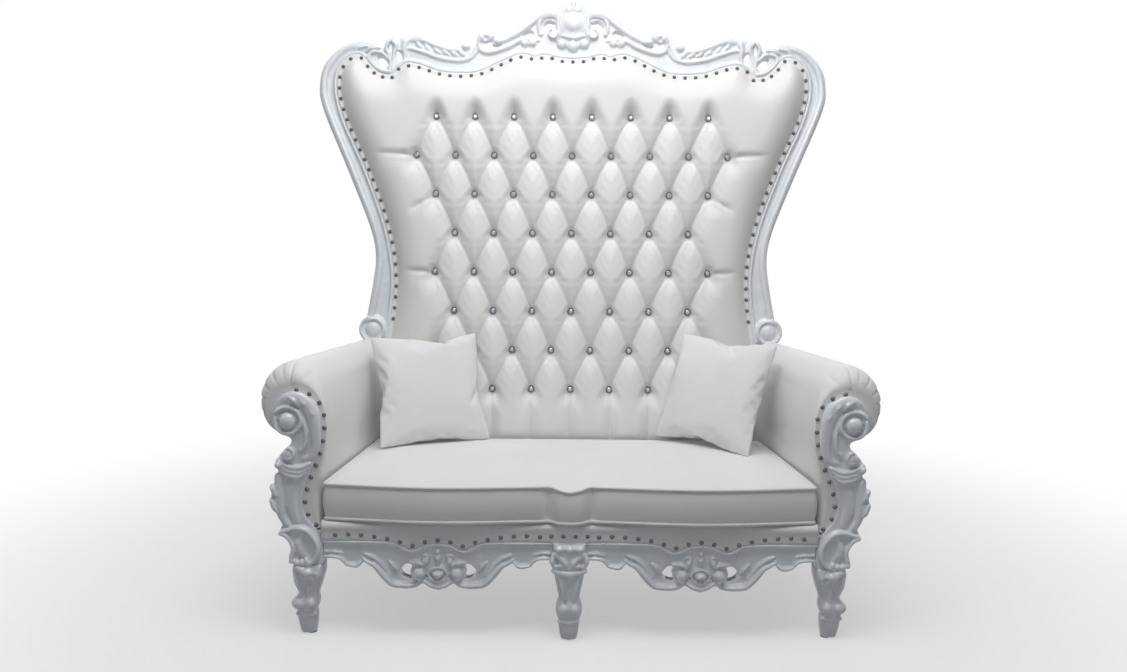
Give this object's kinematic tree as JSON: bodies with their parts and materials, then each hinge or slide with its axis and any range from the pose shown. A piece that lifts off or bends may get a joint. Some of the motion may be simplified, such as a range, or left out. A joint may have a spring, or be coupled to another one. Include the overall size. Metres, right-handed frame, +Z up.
{
  "type": "double throne chair",
  "caption": "Tall two-seat throne chair with a carved, lacquered frame, deep-buttoned back, rolled arms, a loose bench cushion and two throw pillows.",
  "frame": {"origin": "on the floor, under the middle of the chair", "axes": "+X to the right as seen from the front, +Y to the back, +Z up"},
  "size_m": [1.684, 0.903, 1.8316],
  "materials": {
    "lacquered_wood": "glossy white lacquer",
    "timber": "sawn, unfinished",
    "board": "plain board",
    "leathercloth": "soft gloss, fine grain",
    "pillow_cloth": "smooth, slightly satin",
    "webbing": "woven strap",
    "dust_cloth": "non-woven cloth",
    "nail_metal": "dark antique finish",
    "crystal": "cut stone in a bright metal rim",
    "steel": "zinc plated",
    "glide": "smooth"
  },
  "bodies": {
    "frame": {"crest_rail": "lacquered_wood", "left_back_stile": "lacquered_wood", "right_back_stile": "lacquered_wood", "left_arm_post": "lacquered_wood", "right_arm_post": "lacquered_wood", "left_apron": "lacquered_wood", "right_apron": "lacquered_wood", "centre_front_leg": "lacquered_wood", "left_front_leg": "lacquered_wood", "right_front_leg": "lacquered_wood", "left_rear_leg": "lacquered_wood", "right_rear_leg": "lacquered_wood", "left_side_rail": "lacquered_wood", "right_side_rail": "lacquered_wood", "back_mid_rail": "timber", "back_lower_rail": "timber", "front_seat_rail": "timber", "rear_seat_rail": "timber", "left_arm_rail": "timber", "right_arm_rail": "timber", "left_arm_stump": "timber", "right_arm_stump": "timber", "corner_blocks": "timber", "back_board": "board", "back_pad": "leathercloth", "left_arm_pad": "leathercloth", "right_arm_pad": "leathercloth", "seat_deck": "leathercloth", "outside_back_cover": "leathercloth", "tuft_buttons": "crystal", "back_nails": "nail_metal", "left_arm_nails": "nail_metal", "right_arm_nails": "nail_metal", "apron_nails": "nail_metal", "seat_webbing_long": "webbing", "seat_webbing_cross": "webbing", "dust_cover": "dust_cloth", "corner_block_screws": "steel", "leg_bolts": "steel", "foot_glides": "glide"},
    "cushion": {"seat_cushion": "leathercloth"},
    "pillow_left": {"left_pillow": "pillow_cloth"},
    "pillow_right": {"right_pillow": "pillow_cloth"}
  },
  "joints": [
    {"name": "cushion_lift", "type": "slide", "parent": "frame", "child": "cushion", "axis": [0, -0.866, 0.5], "range_m": [0, 0.6]},
    {"name": "left_pillow_lift", "type": "slide", "parent": "cushion", "child": "pillow_left", "axis": [0, 0, 1], "range_m": [0, 0.4]},
    {"name": "right_pillow_lift", "type": "slide", "parent": "cushion", "child": "pillow_right", "axis": [0, 0, 1], "range_m": [0, 0.4]}
  ]
}
